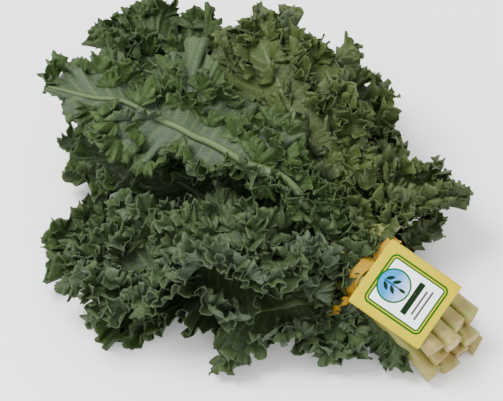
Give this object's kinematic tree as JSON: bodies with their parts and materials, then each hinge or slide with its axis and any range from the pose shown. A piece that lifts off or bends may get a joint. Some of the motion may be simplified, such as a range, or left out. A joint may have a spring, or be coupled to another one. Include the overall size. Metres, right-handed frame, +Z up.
{
  "type": "bunch of curly kale",
  "caption": "Bunch of curly kale lying flat, its frilled leaves fanned out from cut stems held by a twist tie with a printed card.",
  "frame": {"origin": "middle of the footprint, on the surface that the bunch lies on", "axes": "+X towards the cut stems, -X towards the leaf tips, +Z up"},
  "size_m": [0.3802, 0.3128, 0.1243],
  "materials": {
    "leaf": "fresh leaf with a faint waxy bloom; the stems and ribs are paler",
    "tie": "crinkled plastic-coated ribbon",
    "card": "smooth printed card"
  },
  "bodies": {
    "root": {"leaf_low_1": "leaf", "leaf_low_2": "leaf", "leaf_low_3": "leaf", "leaf_low_4": "leaf", "leaf_mid_1": "leaf", "leaf_mid_2": "leaf", "leaf_mid_3": "leaf", "leaf_top_1": "leaf", "leaf_top_2": "leaf", "leaf_top_3": "leaf", "leaf_top_4": "leaf", "tie_band": "tie", "tie_card": "card"}
  },
  "joints": []
}
